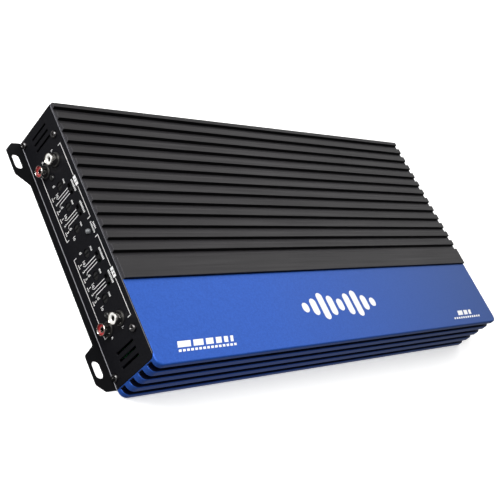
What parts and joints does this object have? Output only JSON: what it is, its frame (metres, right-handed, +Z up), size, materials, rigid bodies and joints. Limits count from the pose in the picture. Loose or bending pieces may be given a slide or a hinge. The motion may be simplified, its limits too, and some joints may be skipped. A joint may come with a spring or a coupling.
{
  "type": "car audio amplifier",
  "caption": "Flat car audio amplifier: finned black heatsink, blue ribbed front cover, bent end panels with slotted ears, phono jacks, trim controls, screw terminals and fuses.",
  "frame": {"origin": "middle of the footprint, on the level the mounting ears stand on", "axes": "+X along the fins towards the terminal end, +Y towards the plain back wall, +Z up"},
  "size_m": [0.4212, 0.2, 0.0464],
  "materials": {
    "black_aluminium": "black anodised, satin, fine extrusion lines along the fins",
    "blue_aluminium": "blue anodised over a fine bead blast, satin",
    "black_steel": "black powder coat, fine texture",
    "black_zinc_screws": "zinc plated",
    "black_screws": "blackened",
    "plated_brass": "nickel plated",
    "plated_steel": "zinc plated",
    "green_laminate": "solder mask",
    "black_plastic": "moulded",
    "nickel_plate": "nickel plated brass",
    "white_plastic": "moulded",
    "red_plastic": "moulded",
    "shaft_plastic": "moulded",
    "lamp_lens": "clear diffused",
    "fuse_plastic": "translucent amber",
    "zinc_blades": "zinc alloy",
    "ferrite": "coated ferrite",
    "copper_wire": "enamelled copper",
    "capacitor_sleeve": "shrink sleeve over aluminium",
    "grey_insulator": "silicone"
  },
  "bodies": {
    "chassis": {"heatsink": "black_aluminium", "front_cover": "blue_aluminium", "input_end_panel": "black_steel", "output_end_panel": "black_steel", "bottom_plate": "black_steel", "end_panel_screws": "black_zinc_screws", "bottom_plate_screws": "black_zinc_screws", "board_standoffs": "plated_brass", "board_screws": "plated_steel", "jack_screws": "black_screws", "main_circuit_board": "green_laminate", "control_circuit_board": "green_laminate", "board_connector": "black_plastic", "jack_housings": "black_plastic", "jack_shells": "nickel_plate", "jack_white_inserts": "white_plastic", "jack_red_inserts": "red_plastic", "jack_centre_contacts": "nickel_plate", "control_bodies": "black_plastic", "switch_bodies": "black_plastic", "indicator_lamp": "lamp_lens", "power_terminal_block": "black_plastic", "power_clamp_cages": "nickel_plate", "power_clamp_screws": "plated_steel", "speaker_terminal_block": "black_plastic", "speaker_clamp_cages": "nickel_plate", "speaker_clamp_screws": "plated_steel", "fuse_holder": "black_plastic", "transformer_core": "ferrite", "transformer_windings": "copper_wire", "supply_capacitors": "capacitor_sleeve", "signal_capacitors": "capacitor_sleeve", "choke_cores": "ferrite", "choke_windings": "copper_wire", "signal_chips": "black_plastic", "power_transistors": "black_plastic", "transistor_leads": "plated_steel", "insulating_strip": "grey_insulator", "clamp_bar": "plated_steel", "clamp_bar_screws": "plated_steel"},
    "control_shaft_1": {"control_shaft_1": "shaft_plastic"},
    "control_shaft_2": {"control_shaft_2": "shaft_plastic"},
    "control_shaft_3": {"control_shaft_3": "shaft_plastic"},
    "control_shaft_4": {"control_shaft_4": "shaft_plastic"},
    "control_shaft_5": {"control_shaft_5": "shaft_plastic"},
    "control_shaft_6": {"control_shaft_6": "shaft_plastic"},
    "switch_slider_1": {"switch_slider_1": "shaft_plastic"},
    "switch_slider_2": {"switch_slider_2": "shaft_plastic"},
    "switch_slider_3": {"switch_slider_3": "shaft_plastic"},
    "switch_slider_4": {"switch_slider_4": "shaft_plastic"},
    "fuse_1": {"blade_fuse_1": "fuse_plastic", "fuse_blades_1": "zinc_blades"},
    "fuse_2": {"blade_fuse_2": "fuse_plastic", "fuse_blades_2": "zinc_blades"}
  },
  "joints": [
    {"name": "control_turn_1", "type": "hinge", "parent": "chassis", "child": "control_shaft_1", "pos_m": [-0.197, 0.0474, 0.0222], "axis": [-1, 0, 0], "range_deg": [-145, 145]},
    {"name": "control_turn_2", "type": "hinge", "parent": "chassis", "child": "control_shaft_2", "pos_m": [-0.197, 0.03025, 0.0222], "axis": [-1, 0, 0], "range_deg": [-145, 145]},
    {"name": "control_turn_3", "type": "hinge", "parent": "chassis", "child": "control_shaft_3", "pos_m": [-0.197, 0.0131, 0.0222], "axis": [-1, 0, 0], "range_deg": [-145, 145]},
    {"name": "control_turn_4", "type": "hinge", "parent": "chassis", "child": "control_shaft_4", "pos_m": [-0.197, -0.0059, 0.0222], "axis": [-1, 0, 0], "range_deg": [-145, 145]},
    {"name": "control_turn_5", "type": "hinge", "parent": "chassis", "child": "control_shaft_5", "pos_m": [-0.197, -0.02305, 0.0222], "axis": [-1, 0, 0], "range_deg": [-145, 145]},
    {"name": "control_turn_6", "type": "hinge", "parent": "chassis", "child": "control_shaft_6", "pos_m": [-0.197, -0.0402, 0.0222], "axis": [-1, 0, 0], "range_deg": [-145, 145]},
    {"name": "switch_slide_1", "type": "slide", "parent": "chassis", "child": "switch_slider_1", "axis": [0, 1, 0], "range_m": [-0.0024, 0.0024]},
    {"name": "switch_slide_2", "type": "slide", "parent": "chassis", "child": "switch_slider_2", "axis": [0, 1, 0], "range_m": [-0.0024, 0.0024]},
    {"name": "switch_slide_3", "type": "slide", "parent": "chassis", "child": "switch_slider_3", "axis": [0, 1, 0], "range_m": [-0.0024, 0.0024]},
    {"name": "switch_slide_4", "type": "slide", "parent": "chassis", "child": "switch_slider_4", "axis": [0, 1, 0], "range_m": [-0.0024, 0.0024]},
    {"name": "fuse_pull_1", "type": "slide", "parent": "chassis", "child": "fuse_1", "axis": [1, 0, 0], "range_m": [0, 0.0155]},
    {"name": "fuse_pull_2", "type": "slide", "parent": "chassis", "child": "fuse_2", "axis": [1, 0, 0], "range_m": [0, 0.0155]}
  ]
}
